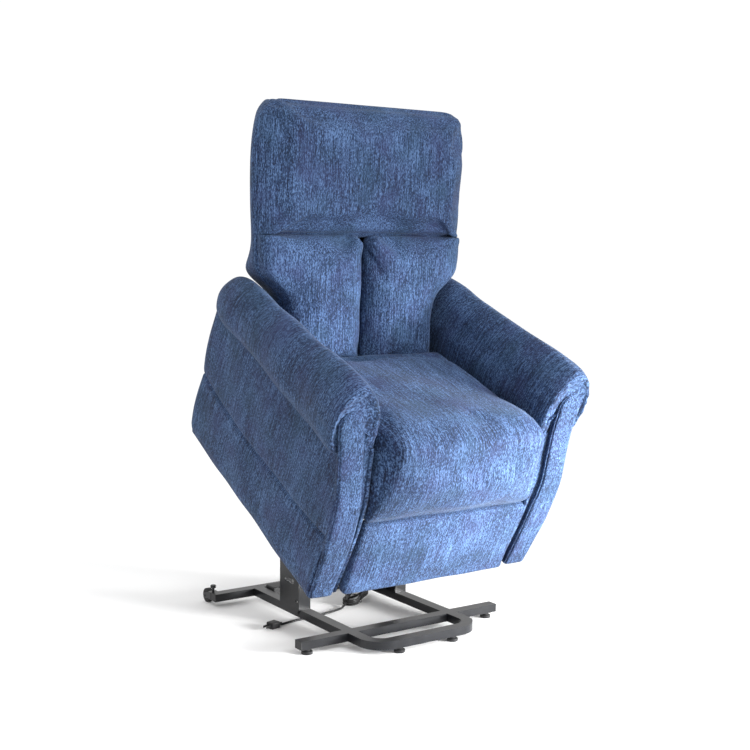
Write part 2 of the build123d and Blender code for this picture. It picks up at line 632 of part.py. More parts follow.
def make_actuators():
    make_actuator("lift", 0.0, LIFT_CLEVIS, LIFT_PIN, LIFT_REACH, -1)
    make_actuator("recline", RECLINE_LANE, RECLINE_CLEVIS, RECLINE_PIN, RECLINE_REACH, 1)


DRIVE_PLATE = (232.0, 236.0)


def make_drive_links():
    """Long flat links from the crank shaft back to the levers of the backrest, cranked below the shaft."""
    heading = bearing(DRIVE_PIN, LEVER_PIN)
    neck = polar(polar(DRIVE_PIN, 22, heading), 12, heading - 90)
    shoulder = polar(polar(DRIVE_PIN, 90, heading), 13, heading - 90)
    link = strap(DRIVE_PIN, neck, 11.0) + strap(neck, shoulder, 10.0) + strap(shoulder, LEVER_PIN, 10.0)
    link -= Pos(*DRIVE_PIN) * Circle(6.3)
    add("back_drive_links", *[tilt(p) for p in both(plate(link, DRIVE_PLATE))])


# ---- Handset in its side pocket ----
HANDSET_X = (376.0, 394.0)
HANDSET_S = (506.0, 554.0)
HANDSET_T = (160.0, 316.0)
BUTTON_RADIUS = 6.0
BUTTON_SPOTS = {
    "raise": (519.0, 301.0), "lower": (541.0, 301.0),
    "recline": (519.0, 283.0), "upright": (541.0, 283.0),
}


def make_pocket():
    pouch = block((SIDE_HALF + 0.3, 399), (430, 640), (80, 270))
    pouch -= block((SIDE_HALF + 2.3, 396), (434, 636), (84, 271))
    add("side_pocket", tilt(pouch))
    case = rounded(block(HANDSET_X, HANDSET_S, HANDSET_T), 5.0)
    for name, spot in BUTTON_SPOTS.items():
        case -= rod_x(spot, BUTTON_RADIUS + 0.4, (HANDSET_X[1] - 5, HANDSET_X[1] + 1))
        button = rod_x(spot, BUTTON_RADIUS, (HANDSET_X[1] - 3, HANDSET_X[1] + 1.6))
        add("button_" + name, tilt(button))
    add("handset_case", tilt(case))


# ---- Mains lead ----
SUPPLY_X = (-152.0, -62.0)
SUPPLY_Y = (REAR_TUBE_Y - 52, REAR_TUBE_Y)
SUPPLY_Z = (19.0, 49.0)
SUPPLY_WALL = 3.0
EXIT_Y, EXIT_Z = REAR_TUBE_Y - 25, 28.0
FLOOR_Z = CORD_RADIUS + 0.1


def make_supply():
    """Power supply box on the front of the rear tube, with its strain relief facing +X."""
    case = rounded(block(SUPPLY_X, SUPPLY_Y, SUPPLY_Z), 4.0)
    inside = [(low + SUPPLY_WALL, high - SUPPLY_WALL) for low, high in (SUPPLY_X, SUPPLY_Y, SUPPLY_Z)]
    case -= block(*inside)
    add("power_supply", case)
    relief = Pos(SUPPLY_X[1] + 13, EXIT_Y, EXIT_Z) * Rot(0, 90, 0) * Cone(8.0, 4.6, 26)
    add("cord_strain_relief", relief)


def hank_point(along_hank, across):
    """(x, y) on the floor of a point of the hank, given along and across it."""
    a = radians(HANK_TURN)
    return (
        HANK_CENTRE[0] + along_hank * cos(a) - across * sin(a),
        HANK_CENTRE[1] + along_hank * sin(a) + across * cos(a),
    )


def cord_tube(name, points):
    """Cord along straight runs joined by arcs as large as the runs allow."""
    path = [Vector(*p) for p in points]
    radii = []
    for before, here, after in zip(path, path[1:], path[2:]):
        turn = radians((here - before).get_angle(after - here))
        shorter = min((here - before).length, (after - here).length)
        radii.append(0.45 * shorter / tan(turn / 2))
    wire = FilletPolyline(*path, radius=radii)
    start = Plane(path[0], z_dir=path[1] - path[0])
    solid = sweep(start * Circle(CORD_RADIUS), path=wire)
    add(name, solid)
    expected = pi * CORD_RADIUS**2 * wire.length
    print(name, "length", round(wire.length), "radii", [round(r) for r in radii],
          "volume ratio", round(solid.volume / expected, 4))
    return wire.length


def make_mains_lead():
    """Lead from the supply to a tied hank on the floor, and on to its plug."""
    y = BASE_FRONT_Y
    exit_x = SUPPLY_X[1] + 26
    half = HANK_SIZE[0] / 2
    far, near = hank_point(half, 0), hank_point(-half, 8)
    to_hank = [
        (exit_x, EXIT_Y, EXIT_Z), (exit_x + 26, EXIT_Y, EXIT_Z), (exit_x + 54, EXIT_Y + 0.5, 15),
        (exit_x + 84, EXIT_Y + 1, 5), (exit_x + 114, EXIT_Y + 2.5, FLOOR_Z),
        (exit_x + 143, EXIT_Y - 0.5, FLOOR_Z), (exit_x + 165, EXIT_Y + 1.5, FLOOR_Z),
        (150.6, y + 527, FLOOR_Z), (168.2, y + 517.6, FLOOR_Z), (179.3, y + 501.1, FLOOR_Z),
        (181.4, y + 481.3, FLOOR_Z), (173.9, y + 462.8, FLOOR_Z), (158.9, y + 449.2, FLOOR_Z),
        (*far, FLOOR_Z),
    ]
    to_plug = [
        (*near, FLOOR_Z), (*hank_point(-half - 28, 8), FLOOR_Z), (-24, y + 316, FLOOR_Z),
        (-54, y + 307, FLOOR_Z), (-86, y + 301, FLOOR_Z), (-120, y + 294, FLOOR_Z),
        (-156, y + 291.5, FLOOR_Z), (-192, y + 290, FLOOR_Z), (-222, y + 285.5, FLOOR_Z), (-248, y + 279, FLOOR_Z),
    ]
    used = cord_tube("mains_cord_rear", to_hank) + cord_tube("mains_cord_front", to_plug)
    print("cord in the hank", round(CORD_LENGTH - used))
    place = Location((*HANK_CENTRE, 0), (0, 0, HANK_TURN))
    length, wide, tall = HANK_SIZE
    hank = Pos(0, 0, 1.3) * extrude(SlotOverall(length + 14, wide), amount=tall)
    hank = fillet(hank.edges().group_by(Axis.Z)[-1], 7)
    hank = fillet(hank.edges().group_by(Axis.Z)[0], 2)
    # Flat ends, which the cord's runs meet face to face.
    hank &= Pos(0, 0, tall / 2) * Box(length, wide, 2 * tall)
    add("mains_cord_hank", place * hank)
    band = Pos(-22, 0, 12.4) * (Box(7, wide + 2.6, 24.6) - Box(7, wide + 0.2, tall + 0.3))
    add("cord_tie", place * band)
    end, before = Vector(*to_plug[-1]), Vector(*to_plug[-2])
    heading = degrees(atan2(end.Y - before.Y, end.X - before.X))
    plug_place = Location((end.X, end.Y, 0), (0, 0, heading))
    neck = Pos(9, 0, FLOOR_Z + 3) * Rot(0, 90, 0) * Cone(4.6, 6.6, 18)
    body = rounded(block((18, 50), (-14, 14), (0.1, 20)), 4.0)
    pins = [block((50, 68), (side - 0.9, side + 0.9), (7, 13.4)) for side in (-6.4, 6.4)]
    plug = neck + body + pins[0] + pins[1]
    add("mains_plug", plug_place * plug)


STEPS = (
    make_base_tubes, make_base_loop, make_feet, make_end_caps, make_wheels, make_uprights,
    make_lift_arms, make_stabiliser_links, make_side_plates, make_cross_tubes, make_chassis_pins,
    make_seat_frame, make_legrest, make_back_frame, make_back_pads, make_back_shell, make_arms,
    make_seat, make_actuators, make_drive_links, make_pocket, make_supply, make_mains_lead,
)
for step in STEPS:
    step()

os.makedirs("parts", exist_ok=True)
for name, shape in PARTS.items():
    export_step(shape, f"parts/{name}.step")
whole = Compound(children=list(PARTS.values())).bounding_box()
print(len(PARTS), "nodes, box", whole.min, whole.max)
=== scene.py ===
"""Lift recliner chair, raised: fabric, padding, cord, materials, floor, lights and camera.

Lengths inside the helpers are millimetres; seat() and back() turn them into metres. Soft pieces are
drawn in the seat body's own axes: x across the chair, s back along the body's bottom edge, t above it.
"""
import json
import math

import bpy
from mathutils import Matrix, Vector, noise


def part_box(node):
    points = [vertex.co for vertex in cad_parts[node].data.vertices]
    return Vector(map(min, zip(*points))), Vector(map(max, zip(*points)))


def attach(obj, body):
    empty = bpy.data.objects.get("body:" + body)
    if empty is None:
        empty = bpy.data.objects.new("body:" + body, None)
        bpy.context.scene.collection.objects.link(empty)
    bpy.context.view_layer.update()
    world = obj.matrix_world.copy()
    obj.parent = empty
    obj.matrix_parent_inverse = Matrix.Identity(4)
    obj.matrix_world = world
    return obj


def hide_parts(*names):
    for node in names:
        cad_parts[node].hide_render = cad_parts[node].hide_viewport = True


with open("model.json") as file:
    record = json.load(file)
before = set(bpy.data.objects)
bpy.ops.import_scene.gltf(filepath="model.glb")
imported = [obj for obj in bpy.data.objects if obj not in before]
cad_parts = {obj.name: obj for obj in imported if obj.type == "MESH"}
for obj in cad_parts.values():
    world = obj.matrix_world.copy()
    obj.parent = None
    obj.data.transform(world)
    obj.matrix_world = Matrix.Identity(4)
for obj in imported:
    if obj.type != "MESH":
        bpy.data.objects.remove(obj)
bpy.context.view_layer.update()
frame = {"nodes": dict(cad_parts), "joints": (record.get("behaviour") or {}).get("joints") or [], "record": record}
NODES = frame["nodes"]
MM = 0.001

# ---- The seat body's axes, worked out from the frame ----
# The handset slides up along t, so its axis gives the tilt.
SLIDE = next(j for j in frame["joints"] if j["name"] == "handset_lift_out")
TILT = math.atan2(-SLIDE["axis"][1], SLIDE["axis"][2])
SIDE_CORNER = (64.0, 479.0)      # (s, t) of the arm side's foremost corner in the raised chair
SIDE_LOWEST = (14.0, 0.0)        # (s, t) of its lowest corner
BACK_FACE = (565.0, 420.0)       # (s, t) where the backrest's face meets the seat
BACK_LEAN = math.radians(23.3)

ARM_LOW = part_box("arm_side_left")[0] / MM
SEAT_ORIGIN = (
    ARM_LOW.y - SIDE_CORNER[0] * math.cos(TILT) + SIDE_CORNER[1] * math.sin(TILT),
    ARM_LOW.z - SIDE_LOWEST[0] * math.sin(TILT),
)


def seat(x, s, t):
    """World point, in metres, of a seat body point in millimetres."""
    y = SEAT_ORIGIN[0] + s * math.cos(TILT) - t * math.sin(TILT)
    z = SEAT_ORIGIN[1] + s * math.sin(TILT) + t * math.cos(TILT)
    return Vector((x, y, z)) * MM


TOWARDS_REAR = (seat(0, 100, 0) - seat(0, 0, 0)).normalized()
UPWARDS = (seat(0, 0, 100) - seat(0, 0, 0)).normalized()


def back(x, h, d):
    """World point of a backrest point: h up its face from the seat, d behind that face."""
    s = BACK_FACE[0] + h * math.sin(BACK_LEAN) + d * math.cos(BACK_LEAN)
    t = BACK_FACE[1] + h * math.cos(BACK_LEAN) - d * math.sin(BACK_LEAN)
    return seat(x, s, t)


# ---- Numbers ----
def clamp(value, low=0.0, high=1.0):
    return max(low, min(high, value))


def smooth(value, low, high):
    """0 below low, 1 above high, and an even curve between."""
    k = clamp((value - low) / (high - low))
    return k * k * (3 - 2 * k)


def mix(a, b, k):
    return a + (b - a) * k


def bump(value, centre, width):
    """Bell of height 1 at centre."""
    return math.exp(-(((value - centre) / width) ** 2))


def follow(points, value):
    """Smooth curve through (key, result) points whose keys rise."""
    if value <= points[0][0]:
        return points[0][1]
    for i, (here, there) in enumerate(zip(points, points[1:])):
        if value <= there[0]:
            before = points[max(i - 1, 0)]
            after = points[min(i + 2, len(points) - 1)]
            gap = there[0] - here[0]
            k = (value - here[0]) / gap
            m0 = (there[1] - before[1]) / (there[0] - before[0]) * gap
            m1 = (after[1] - here[1]) / (after[0] - here[0]) * gap
            return (
                (2 * k**3 - 3 * k**2 + 1) * here[1] + (k**3 - 2 * k**2 + k) * m0
                + (-2 * k**3 + 3 * k**2) * there[1] + (k**3 - k**2) * m1
            )
    return points[-1][1]


def travelled(points):
    """Length of a polyline up to each of its points."""
    lengths = [0.0]
    for (x0, y0), (x1, y1) in zip(points, points[1:]):
        lengths.append(lengths[-1] + math.hypot(x1 - x0, y1 - y0))
    return lengths


def at_length(points, lengths, goal):
    """Point of a polyline at a travelled length, smoothed."""
    return (
        follow([(length, p[0]) for length, p in zip(lengths, points)], goal),
        follow([(length, p[1]) for length, p in zip(lengths, points)], goal),
    )


def along(points, k):
    """Point at the fraction k of a polyline's length, smoothed."""
    lengths = travelled(points)
    return at_length(points, lengths, k * lengths[-1])


def with_normal(points, k):
    """Point at the fraction k of a polyline's length, and the unit normal on the left of its run."""
    lengths = travelled(points)
    goal = k * lengths[-1]
    ahead, before = at_length(points, lengths, goal + 1.0), at_length(points, lengths, goal - 1.0)
    length = math.hypot(ahead[0] - before[0], ahead[1] - before[1]) or 1.0
    normal = (-(ahead[1] - before[1]) / length, (ahead[0] - before[0]) / length)
    return at_length(points, lengths, goal), normal


def wobble(x, y, z, size, amount, seed=0.0):
    """Soft random offset that is the same on every run."""
    return amount * noise.noise(Vector((x / size + seed, y / size, z / size)))


# ---- Meshes ----
def make_object(name, points, faces, material, smooth_faces=True):
    mesh = bpy.data.meshes.new(name)
    mesh.from_pydata(points, [], faces)
    mesh.validate()
    mesh.polygons.foreach_set("use_smooth", [smooth_faces] * len(mesh.polygons))
    obj = bpy.data.objects.new(name, mesh)
    bpy.context.scene.collection.objects.link(obj)
    mesh.materials.append(material)
    return obj


def lattice(name, counts, shape, material):
    """Closed quad mesh: shape(u, v, w) places each point of a cube's surface, u, v, w from -1 to 1."""
    index, points, faces = {}, [], []

    def corner(*key):
        if key not in index:
            index[key] = len(points)
            points.append(shape(*[2 * k / n - 1 for k, n in zip(key, counts)]))
        return index[key]

    for axis in range(3):
        a, b = [i for i in range(3) if i != axis]
        for level in (0, counts[axis]):
            for i in range(counts[a]):
                for j in range(counts[b]):
                    keys = []
                    for di, dj in ((0, 0), (1, 0), (1, 1), (0, 1)):
                        key = [0, 0, 0]
                        key[axis], key[a], key[b] = level, i + di, j + dj
                        keys.append(corner(*key))
                    outward = (level > 0) == (axis != 1)
                    faces.append(keys if outward else keys[::-1])
    return make_object(name, points, faces, material)


def dense(u):
    """Spreads even steps so that they crowd towards both ends."""
    return math.sin(u * math.pi / 2)


def rounded(u, v, w, half, radius):
    """Point of a box's surface with its edges and corners rounded."""
    point = Vector([k * h for k, h in zip((u, v, w), half)])
    core = Vector([clamp(p, -(h - r), h - r) for p, h, r in zip(point, half, radius)])
    away = Vector([(p - c) / r for p, c, r in zip(point, core, radius)])
    if away.length > 0:
        away.normalize()
    return core + Vector([a * r for a, r in zip(away, radius)])


def subdivide(obj):
    modifier = obj.modifiers.new("subdivision", "SUBSURF")
    modifier.levels = modifier.render_levels = 1
    return obj


CLOTH_PRESSURE = 4.0
CLOTH_FRAMES = 20


def inflate(obj, cap, voxel, held):
    """Swells a pad under cloth pressure. held(point) says which points stay; no point moves beyond cap."""
    remesh = obj.modifiers.new("remesh", "REMESH")
    remesh.mode = "VOXEL"
    remesh.voxel_size = voxel * MM
    remesh.use_smooth_shade = True
    apply_modifiers(obj)
    start = [v.co.copy() for v in obj.data.vertices]
    group = obj.vertex_groups.new(name="held")
    group.add([i for i, point in enumerate(start) if held(point)], 1.0, "REPLACE")
    cloth = obj.modifiers.new("cloth", "CLOTH")
    cloth.settings.use_pressure = True
    cloth.settings.uniform_pressure_force = CLOTH_PRESSURE
    cloth.settings.vertex_group_mass = "held"
    cloth.settings.effector_weights.gravity = 0.0
    cloth.point_cache.frame_start = 1
    cloth.point_cache.frame_end = CLOTH_FRAMES
    for step in range(1, CLOTH_FRAMES + 1):
        bpy.context.scene.frame_set(step)
    apply_modifiers(obj)
    bpy.context.scene.frame_set(1)
    for vertex, before in zip(obj.data.vertices, start):
        move = vertex.co - before
        if move.length > cap * MM:
            vertex.co = before + move.normalized() * cap * MM
    obj.vertex_groups.clear()
    return subdivide(obj)


def apply_modifiers(obj):
    """Puts the shape the modifiers give into the object's own mesh."""
    graph = bpy.context.evaluated_depsgraph_get()
    shaped = bpy.data.meshes.new_from_object(obj.evaluated_get(graph))
    material = obj.data.materials[0]
    obj.modifiers.clear()
    obj.data = shaped
    obj.data.materials.clear()
    obj.data.materials.append(material)


def mirrored(obj, name):
    """Copy of a piece on the chair's other side."""
    twin = bpy.data.objects.new(name, obj.data.copy())
    twin.data.transform(Matrix.Scale(-1, 4, (1, 0, 0)))
    twin.data.flip_normals()
    bpy.context.scene.collection.objects.link(twin)
    return subdivide(twin)


def welt(name, points, radius, material):
    """Thin sewn edge: a round cord of fabric through world points."""
    curve = bpy.data.curves.new(name, "CURVE")
    curve.dimensions = "3D"
    curve.bevel_depth = radius * MM
    curve.bevel_resolution = 2
    spline = curve.splines.new("NURBS")
    spline.points.add(len(points) - 1)
    for spot, point in zip(spline.points, points):
        spot.co = (*point, 1.0)
    spline.order_u = 3
    spline.use_endpoint_u = True
    curve.materials.append(material)
    obj = bpy.data.objects.new(name, curve)
    bpy.context.scene.collection.objects.link(obj)
    return obj


def finish_piece(obj, body, replaces=()):
    """Hangs a fabric piece on its body and hides the CAD nodes it stands for."""
    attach(obj, body)
    if replaces:
        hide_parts(*replaces)
    return obj


# ---- Materials ----
def new_material(name, roughness, metallic=0.0, coat=0.0, sheen=0.0):
    material = bpy.data.materials.new(name)
    material.use_nodes = True
    nodes = material.node_tree.nodes
    shader = nodes["Principled BSDF"]
    shader.inputs["Roughness"].default_value = roughness
    shader.inputs["Metallic"].default_value = metallic
    shader.inputs["Coat Weight"].default_value = coat
    shader.inputs["Specular IOR Level"].default_value = 0.3
    shader.inputs["Coat Roughness"].default_value = 0.12
    shader.inputs["Sheen Weight"].default_value = sheen
    shader.inputs["Sheen Roughness"].default_value = 0.45
    return material, nodes, material.node_tree.links, shader


def noise_node(nodes, links, vector, scale, detail=2.0, rough=0.5):
    node = nodes.new("ShaderNodeTexNoise")
    node.inputs["Scale"].default_value = scale
    node.inputs["Detail"].default_value = detail
    node.inputs["Roughness"].default_value = rough
    links.new(vector, node.inputs["Vector"])
    return node.outputs["Fac"]


def mapped(nodes, links, vector, rotation=(0, 0, 0), scale=(1, 1, 1)):
    node = nodes.new("ShaderNodeMapping")
    node.inputs["Rotation"].default_value = rotation
    node.inputs["Scale"].default_value = scale
    links.new(vector, node.inputs["Vector"])
    return node.outputs["Vector"]


def ramp(nodes, links, factor, stops):
    node = nodes.new("ShaderNodeValToRGB")
    links.new(factor, node.inputs["Fac"])
    while len(node.color_ramp.elements) < len(stops):
        node.color_ramp.elements.new(0.5)
    for element, (place, colour) in zip(node.color_ramp.elements, stops):
        element.position = place
        element.color = (*colour, 1.0)
    return node.outputs["Color"]


def blend_colour(nodes, links, factor, a, b):
    node = nodes.new("ShaderNodeMix")
    node.data_type = "RGBA"
    links.new(factor, node.inputs[0])
    for socket, value in ((node.inputs[6], a), (node.inputs[7], b)):
        if isinstance(value, tuple):
            socket.default_value = (*value, 1.0)
        else:
            links.new(value, socket)
    return node.outputs[2]


def maths(nodes, links, operation, a, b):
    node = nodes.new("ShaderNodeMath")
    node.operation = operation
    for socket, value in zip(node.inputs, (a, b)):
        if isinstance(value, (int, float)):
            socket.default_value = value
        else:
            links.new(value, socket)
    return node.outputs[0]


def add_bump(nodes, links, shader, height, strength, distance):
    node = nodes.new("ShaderNodeBump")
    node.inputs["Strength"].default_value = strength
    node.inputs["Distance"].default_value = distance
    links.new(height, node.inputs["Height"])
    links.new(node.outputs["Normal"], shader.inputs["Normal"])


DARK_BLUE = (0.0030, 0.0074, 0.025)
MID_BLUE = (0.0142, 0.0330, 0.087)
LIGHT_BLUE = (0.076, 0.140, 0.280)
PURPLE = (0.0230, 0.0270, 0.090)
TEAL = (0.0095, 0.034, 0.064)


def chenille(name, lean, fine):
    """Ribbed chenille. lean turns the ribs' axes onto the piece; fine says which axes cross the ribs."""
    material, nodes, links, shader = new_material(name, 0.86, sheen=0.08)
    shader.inputs["Sheen Tint"].default_value = (0.62, 0.76, 1.0, 1.0)
    place = nodes.new("ShaderNodeTexCoord").outputs["Object"]
    level = mapped(nodes, links, place, rotation=(lean, 0, 0))
    slub_scale = tuple(1.0 if f else 0.30 for f in fine)
    rib_scale = tuple(1.0 if f else 0.035 for f in fine)
    slub = noise_node(nodes, links, mapped(nodes, links, level, scale=slub_scale), 470.0, 2.5, 0.65)
    rib = noise_node(nodes, links, mapped(nodes, links, level, scale=rib_scale), 360.0, 1.0, 0.4)
    fleck = noise_node(nodes, links, level, 480.0, 1.0, 0.5)
    cloud = noise_node(nodes, links, level, 8.0, 3.0, 0.6)
    tint = noise_node(nodes, links, level, 11.0, 1.0, 0.5)
    grain = maths(nodes, links, "ADD", maths(nodes, links, "MULTIPLY", slub, 0.62),
                  maths(nodes, links, "MULTIPLY", rib, 0.26))
    grain = maths(nodes, links, "ADD", grain, maths(nodes, links, "MULTIPLY", fleck, 0.12))
    shifted = maths(nodes, links, "ADD", grain, maths(nodes, links, "MULTIPLY",
                    maths(nodes, links, "SUBTRACT", cloud, 0.5), 0.16))
    base = ramp(nodes, links, shifted, [(0.41, DARK_BLUE), (0.50, MID_BLUE), (0.60, LIGHT_BLUE)])
    warm = ramp(nodes, links, tint, [(0.52, (0.0, 0.0, 0.0)), (0.75, (0.35, 0.35, 0.35))])
    cold = ramp(nodes, links, tint, [(0.26, (0.35, 0.35, 0.35)), (0.48, (0.0, 0.0, 0.0))])
    colour = blend_colour(nodes, links, warm, base, PURPLE)
    colour = blend_colour(nodes, links, cold, colour, TEAL)
    links.new(colour, shader.inputs["Base Color"])
    add_bump(nodes, links, shader, grain, 0.55, 0.0022)
    return material


SEAT_LEAN = -TILT
BACKREST_LEAN = -TILT + BACK_LEAN
CLOTH_BACK = chenille("chenille_back", BACKREST_LEAN, (True, True, False))
CLOTH_SEAT = chenille("chenille_seat", SEAT_LEAN, (True, False, False))
CLOTH_ARM = chenille("chenille_arm", SEAT_LEAN, (False, True, False))
CLOTH_FRONT = chenille("chenille_front", SEAT_LEAN, (True, True, False))


def coated(name, colour, roughness, metallic, coat, scale, strength):
    """Paint, plating or plastic with a fine uneven surface."""
    material, nodes, links, shader = new_material(name, roughness, metallic, coat)
    place = nodes.new("ShaderNodeTexCoord").outputs["Object"]
    texture = noise_node(nodes, links, place, scale, 3.0, 0.6)
    worn = noise_node(nodes, links, place, 18.0, 4.0, 0.6)
    lighter = tuple(min(1.0, c * 1.35 + 0.004) for c in colour)
    links.new(ramp(nodes, links, worn, [(0.35, colour), (0.75, lighter)]), shader.inputs["Base Color"])
    rough = nodes.new("ShaderNodeMapRange")
    rough.inputs["To Min"].default_value = max(0.03, roughness - 0.06)
    rough.inputs["To Max"].default_value = min(1.0, roughness + 0.10)
    links.new(worn, rough.inputs["Value"])
    links.new(rough.outputs["Result"], shader.inputs["Roughness"])
    add_bump(nodes, links, shader, texture, strength, 0.0004)
    return material


def wooden(name):
    """Light wood with its grain along y."""
    material, nodes, links, shader = new_material(name, 0.62)
    place = nodes.new("ShaderNodeTexCoord").outputs["Object"]
    long = mapped(nodes, links, place, scale=(9.0, 1.0, 9.0))
    wave = nodes.new("ShaderNodeTexWave")
    wave.inputs["Scale"].default_value = 3.0
    wave.inputs["Distortion"].default_value = 9.0
    wave.inputs["Detail"].default_value = 3.0
    links.new(long, wave.inputs["Vector"])
    tone = ramp(nodes, links, wave.outputs["Fac"], [(0.2, (0.40, 0.25, 0.13)), (0.8, (0.60, 0.43, 0.26))])
    links.new(tone, shader.inputs["Base Color"])
    add_bump(nodes, links, shader, wave.outputs["Fac"], 0.2, 0.0005)
    return material


def woven(name, colour):
    """Flat elastic webbing."""
    material, nodes, links, shader = new_material(name, 0.9)
    place = nodes.new("ShaderNodeTexCoord").outputs["Object"]
    checker = nodes.new("ShaderNodeTexBrick")
    checker.inputs["Scale"].default_value = 260.0
    checker.inputs["Color1"].default_value = (*colour, 1.0)
    checker.inputs["Color2"].default_value = (*[c * 1.5 for c in colour], 1.0)
    checker.inputs["Mortar"].default_value = (*[c * 0.4 for c in colour], 1.0)
    links.new(place, checker.inputs["Vector"])
    links.new(checker.outputs["Color"], shader.inputs["Base Color"])
    add_bump(nodes, links, shader, checker.outputs["Fac"], 0.4, 0.0006)
    return material


SLOT_LOOKS = {
    "base_steel": coated("black_paint", (0.007, 0.0075, 0.009), 0.30, 0.0, 0.05, 420.0, 0.08),
    "mechanism_steel": coated("powder_coat", (0.018, 0.018, 0.020), 0.42, 0.0, 0.2, 900.0, 0.25),
    "pins": coated("zinc_plate", (0.55, 0.55, 0.56), 0.32, 1.0, 0.0, 700.0, 0.10),
    "ram_steel": coated("polished_steel", (0.72, 0.72, 0.74), 0.12, 1.0, 0.0, 300.0, 0.03),
    "guide_tube": coated("anodised_tube", (0.62, 0.62, 0.64), 0.34, 1.0, 0.0, 800.0, 0.08),
    "motor_plastic": coated("motor_plastic", (0.022, 0.022, 0.024), 0.55, 0.0, 0.0, 1200.0, 0.35),
    "glide_plastic": coated("glide_plastic", (0.014, 0.014, 0.015), 0.45, 0.0, 0.0, 1200.0, 0.25),
    "wheel_rubber": coated("wheel_rubber", (0.016, 0.016, 0.016), 0.70, 0.0, 0.0, 900.0, 0.30),
    "supply_plastic": coated("supply_plastic", (0.018, 0.018, 0.019), 0.50, 0.0, 0.0, 1400.0, 0.35),
    "cord_rubber": coated("cord_rubber", (0.010, 0.010, 0.011), 0.48, 0.0, 0.0, 900.0, 0.15),
    "tie": coated("tie_fabric", (0.012, 0.012, 0.012), 0.85, 0.0, 0.0, 1500.0, 0.50),
    "frame_wood": wooden("frame_wood"),
    "webbing": woven("webbing", (0.03, 0.03, 0.032)),
    "handset_plastic": coated("handset_plastic", (0.030, 0.031, 0.034), 0.48, 0.0, 0.0, 1300.0, 0.30),
    "button_plastic": coated("button_plastic", (0.55, 0.57, 0.60), 0.28, 0.0, 0.3, 900.0, 0.08),
    "upholstery": CLOTH_FRONT,
}


def dress_cad_nodes():
    """Gives every CAD node the look of its record slot."""
    for entry in frame["record"]["subparts"]:
        obj = NODES[entry["node"]]
        if not obj.material_slots:
            obj.data.materials.append(None)
        for slot in obj.material_slots:
            slot.material = SLOT_LOOKS[entry["material_slot"]]


# ---- Backrest ----
HEAD_LOW, HEAD_TOP = 330.0, 716.0


def back_half(h):
    """Half width of the backrest: narrow between the arms, flaring above them."""
    return follow([(-60, 256), (130, 262), (168, 278), (198, 315), (225, 340), (262, 349), (330, 354),
                   (420, 359), (560, 361), (640, 356), (690, 343), (716, 324)], h)


def behind(h, d):
    """True for world points further back than depth d of the backrest, measured at height h."""
    spot = back(0, h, d)
    toward = (back(0, h, d + 100) - spot).normalized()
    return lambda point: (point - spot).dot(toward) > 0


def head_pad():
    """Wide pad at the top of the backrest, soft along its lower edge."""
    half = (322.0, (HEAD_TOP - HEAD_LOW) / 2, 38.0)
    middle = (HEAD_TOP + HEAD_LOW) / 2

    def shape(u, v, w):
        soft = rounded(dense(u), dense(w), v, half, (42.0, 34.0, 30.0))
        plain = rounded(dense(u), dense(w), v, half, (42.0, 2.0, 30.0))
        fade = smooth(abs(soft.x) / half[0], 0.70, 0.92) * smooth(-soft.y / half[1], 0.3, 0.8)
        p = soft.lerp(plain, fade)
        h, d = middle + p.y, 22.0 + p.z
        front = clamp((22.0 - d) / 38.0)
        across, up = p.x / half[0], p.y / half[1]
        x = p.x * (back_half(h) - 3.0) / half[0]
        d -= front * 4.0 * (1 - across**4) * (1 - 0.5 * up * up)
        h -= front * 7.0 * bump(abs(across), 0.52, 0.3) * smooth(-up, 0.4, 1.0)
        d += front * wobble(x, h, 0, 120.0, 5.0)
        return back(x, h, d)

    obj = lattice("headrest", (56, 8, 36), shape, CLOTH_BACK)
    inflate(obj, 16.0, 7.0, behind(middle, 30.0))
    return finish_piece(obj, "backrest", replaces=("headrest_pad",))


def lumbar_pads():
    """Two pads side by side under the headrest; the right one is the left one mirrored."""
    low, high = -66.0, 338.0
    half = (100.0, (high - low) / 2, 38.0)

    def shape(u, v, w):
        wide = mix(28.0, 42.0, smooth(u, -0.4, 0.4))
        soft = rounded(dense(u), dense(w), v, half, (wide * 0.6, 34.0, 30.0))
        plain = rounded(dense(u), dense(w), v, half, (wide * 0.6, 2.0, 30.0))
        fade = smooth(soft.x / half[0], 0.2, 0.8) * smooth(soft.y / half[1], 0.3, 0.8)
        p = soft.lerp(plain, fade)
        h, d = (high + low) / 2 + p.y, 22.0 + p.z
        x = mix(5.0, back_half(h) - 3.0, (p.x / half[0] + 1) / 2)
        front = clamp((22.0 - d) / 38.0)
        crown = 1 - (p.x / half[0]) ** 2
        d -= front * (4.0 * crown + 3.0 * clamp(1 - ((h - 150.0) / 210.0) ** 2))
        d += front * wobble(x, h, 5, 90.0, 5.0)
        return back(x, h, d)

    left = lattice("lumbar_left", (26, 8, 36), shape, CLOTH_BACK)
    inflate(left, 15.0, 7.0, behind(140.0, 30.0))
    right = mirrored(left, "lumbar_right")
    finish_piece(left, "backrest", replaces=("lumbar_pad_left",))
    finish_piece(right, "backrest", replaces=("lumbar_pad_right",))


WRAP_THICKNESS = 7.0
WRAP_TUCK = 8.0                  # how far its top and bottom edges turn inwards


